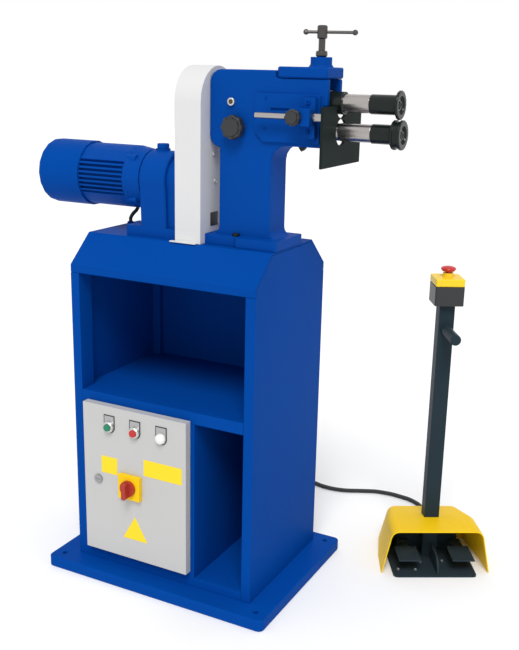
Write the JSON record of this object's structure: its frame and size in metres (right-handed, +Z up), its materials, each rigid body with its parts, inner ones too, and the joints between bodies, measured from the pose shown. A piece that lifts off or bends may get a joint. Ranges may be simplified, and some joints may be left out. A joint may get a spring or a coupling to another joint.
{
  "type": "combination sheet metal machine",
  "caption": "Motor-driven beading and swaging machine with paired rollers on a steel cabinet, with a control enclosure and a separate foot pedal station.",
  "frame": {"origin": "centre of the base plate's underside, on the floor", "axes": "+Z up, +X along the shafts to the operator's right, +Y away from the operator"},
  "size_m": [1.1526, 0.8733, 1.3934],
  "materials": {
    "blue_paint": "satin blue powder coat",
    "cast_blue": "satin blue paint on cast iron",
    "aluminium_blue": "satin blue paint on cast aluminium",
    "grey_paint": "light grey textured powder coat",
    "white_paint": "satin white powder coat",
    "yellow_paint": "satin yellow powder coat",
    "yellow_plastic": "moulded yellow plastic",
    "slate_paint": "dark slate powder coat",
    "black_plastic": "moulded black plastic",
    "black_rubber": "black flexible plastic",
    "red_plastic": "moulded red plastic",
    "green_plastic": "moulded green plastic",
    "lamp_lens": "white lens",
    "zinc_plate": "zinc plated",
    "ground_steel": "ground steel",
    "black_steel": "blackened steel",
    "bronze": "bearing bronze"
  },
  "bodies": {
    "machine": {"base_plate": "blue_paint", "side_panel_left": "blue_paint", "side_panel_right": "blue_paint", "top_cover": "blue_paint", "back_panel": "blue_paint", "shelf": "blue_paint", "floor_pan": "blue_paint", "divider": "blue_paint", "enclosure_body": "grey_paint", "mounting_plate": "zinc_plate", "contactors": "black_plastic", "head_casting": "cast_blue", "head_cap": "cast_blue", "gear_cover": "blue_paint", "lower_bush": "bronze", "oil_sight": "zinc_plate", "stop_clamp_block": "cast_blue", "drive_guard": "white_paint", "gearbox_housing": "cast_blue", "gearbox_plug": "cast_blue", "motor_frame": "aluminium_blue", "fan_cowl": "blue_paint", "motor_cable": "black_rubber", "pedal_base": "slate_paint", "pedal_hood": "yellow_paint", "pedal_column": "slate_paint", "estop_box": "black_plastic", "estop_cover": "yellow_plastic", "pedal_gland": "black_plastic", "cabinet_gland": "black_plastic", "pedal_cable": "black_rubber"},
    "door": {"enclosure_door": "grey_paint", "start_bezel": "zinc_plate", "stop_bezel": "zinc_plate", "pilot_lamp": "lamp_lens", "main_switch": "yellow_paint"},
    "start_button": {"start_button": "green_plastic"},
    "stop_button": {"stop_button": "red_plastic"},
    "main_switch_knob": {"main_switch_knob": "red_plastic"},
    "door_lock": {"door_lock": "zinc_plate"},
    "shaft_lock_knob": {"shaft_lock_knob": "black_plastic"},
    "stop_clamp_knob": {"stop_clamp_knob": "black_plastic"},
    "sheet_stop": {"stop_rod": "ground_steel", "stop_plate": "black_steel"},
    "lower_roll": {"lower_shaft": "ground_steel", "driven_gear": "ground_steel", "lower_roller": "black_steel"},
    "upper_arm": {"upper_rear_bush": "bronze", "upper_bearing_block": "black_steel"},
    "upper_roll": {"upper_shaft": "ground_steel", "upper_roller": "black_steel"},
    "thrust_pad": {"thrust_pad": "ground_steel"},
    "pressure_screw": {"pressure_screw": "black_steel"},
    "tommy_bar": {"tommy_bar": "ground_steel"},
    "lock_nut": {"lock_nut": "black_steel"},
    "drive_gear": {"drive_gear": "ground_steel"},
    "motor_rotor": {"motor_fan": "black_plastic"},
    "pedal_left": {"pedal_left": "slate_paint"},
    "pedal_right": {"pedal_right": "slate_paint"},
    "estop_button": {"estop_button": "red_plastic"}
  },
  "joints": [
    {"name": "door_hinge", "type": "hinge", "parent": "machine", "child": "door", "pos_m": [0.0855, -0.1913, 0.2745], "axis": [0, 0, 1], "range_deg": [0, 100]},
    {"name": "start_press", "type": "slide", "parent": "door", "child": "start_button", "axis": [0, 1, 0], "range_m": [0, 0.0035], "stiffness_N_per_m": 300, "springref_m": -0.002},
    {"name": "stop_press", "type": "slide", "parent": "door", "child": "stop_button", "axis": [0, 1, 0], "range_m": [0, 0.0035], "stiffness_N_per_m": 300, "springref_m": -0.002},
    {"name": "main_switch_turn", "type": "hinge", "parent": "door", "child": "main_switch_knob", "pos_m": [-0.0708, -0.2166, 0.2755], "axis": [0, 1, 0], "range_deg": [0, 90]},
    {"name": "door_lock_turn", "type": "hinge", "parent": "door", "child": "door_lock", "pos_m": [-0.1717, -0.2046, 0.2752], "axis": [0, -1, 0], "range_deg": [0, 90]},
    {"name": "shaft_lock_turn", "type": "hinge", "parent": "machine", "child": "shaft_lock_knob", "pos_m": [0.139, -0.06, 1.168], "axis": [0, 1, 0], "range_deg": [0, 180]},
    {"name": "stop_clamp_turn", "type": "hinge", "parent": "machine", "child": "stop_clamp_knob", "pos_m": [0.3115, -0.112, 1.1985], "axis": [0, 1, 0], "range_deg": [0, 180]},
    {"name": "sheet_stop_slide", "type": "slide", "parent": "machine", "child": "sheet_stop", "axis": [1, 0, 0], "range_m": [-0.01, 0.085]},
    {"name": "motor_spin", "type": "hinge", "parent": "machine", "child": "motor_rotor", "pos_m": [-0.3842, -0.018, 1.03], "axis": [1, 0, 0], "continuous": true},
    {"name": "lower_roll_spin", "type": "hinge", "parent": "machine", "child": "lower_roll", "pos_m": [0.014, -0.018, 1.166], "axis": [1, 0, 0], "continuous": true},
    {"name": "drive_gear_spin", "type": "hinge", "parent": "machine", "child": "drive_gear", "pos_m": [0.02, -0.018, 1.03], "axis": [1, 0, 0], "continuous": true},
    {"name": "upper_arm_tilt", "type": "hinge", "parent": "machine", "child": "upper_arm", "pos_m": [0.0754, -0.018, 1.229], "axis": [0, -1, 0], "range_deg": [0, 2]},
    {"name": "upper_roll_spin", "type": "hinge", "parent": "upper_arm", "child": "upper_roll", "pos_m": [0.0671, -0.018, 1.229], "axis": [1, 0, 0], "continuous": true},
    {"name": "thrust_pad_slide", "type": "slide", "parent": "machine", "child": "thrust_pad", "axis": [0, 0, 1], "range_m": [0, 0.0093]},
    {"name": "pressure_screw_turn", "type": "hinge", "parent": "thrust_pad", "child": "pressure_screw", "pos_m": [0.3275, -0.018, 1.326], "axis": [0, 0, 1], "range_deg": [0, 1320]},
    {"name": "tommy_bar_slide", "type": "slide", "parent": "pressure_screw", "child": "tommy_bar", "axis": [0.9563, 0.2924, 0], "range_m": [-0.053, 0.018]},
    {"name": "lock_nut_turn", "type": "hinge", "parent": "machine", "child": "lock_nut", "pos_m": [0.3275, -0.018, 1.326], "axis": [0, 0, 1], "range_deg": [0, 60]},
    {"name": "pedal_left_press", "type": "hinge", "parent": "machine", "child": "pedal_left", "pos_m": [0.48505, 0.29774, 0.034], "axis": [0.8686, 0.4955, 0], "range_deg": [0, 12], "stiffness_Nm_per_rad": 4, "springref_deg": -14.32},
    {"name": "pedal_right_press", "type": "hinge", "parent": "machine", "child": "pedal_right", "pos_m": [0.61013, 0.36908, 0.034], "axis": [0.8686, 0.4955, 0], "range_deg": [0, 12], "stiffness_Nm_per_rad": 4, "springref_deg": -14.32},
    {"name": "estop_press", "type": "slide", "parent": "machine", "child": "estop_button", "axis": [0, 0, -1], "range_m": [0, 0.004], "stiffness_N_per_m": 400, "springref_m": -0.004}
  ],
  "couplings": [
    {"joint": "upper_roll_spin", "follows": "lower_roll_spin", "ratio": -1},
    {"joint": "drive_gear_spin", "follows": "lower_roll_spin", "ratio": -1.125},
    {"joint": "motor_spin", "follows": "lower_roll_spin", "ratio": -31.5},
    {"joint": "thrust_pad_slide", "follows": "pressure_screw_turn", "m_per_rad": 0.00039789},
    {"joint": "upper_arm_tilt", "follows": "pressure_screw_turn", "ratio": 0.0015072}
  ]
}
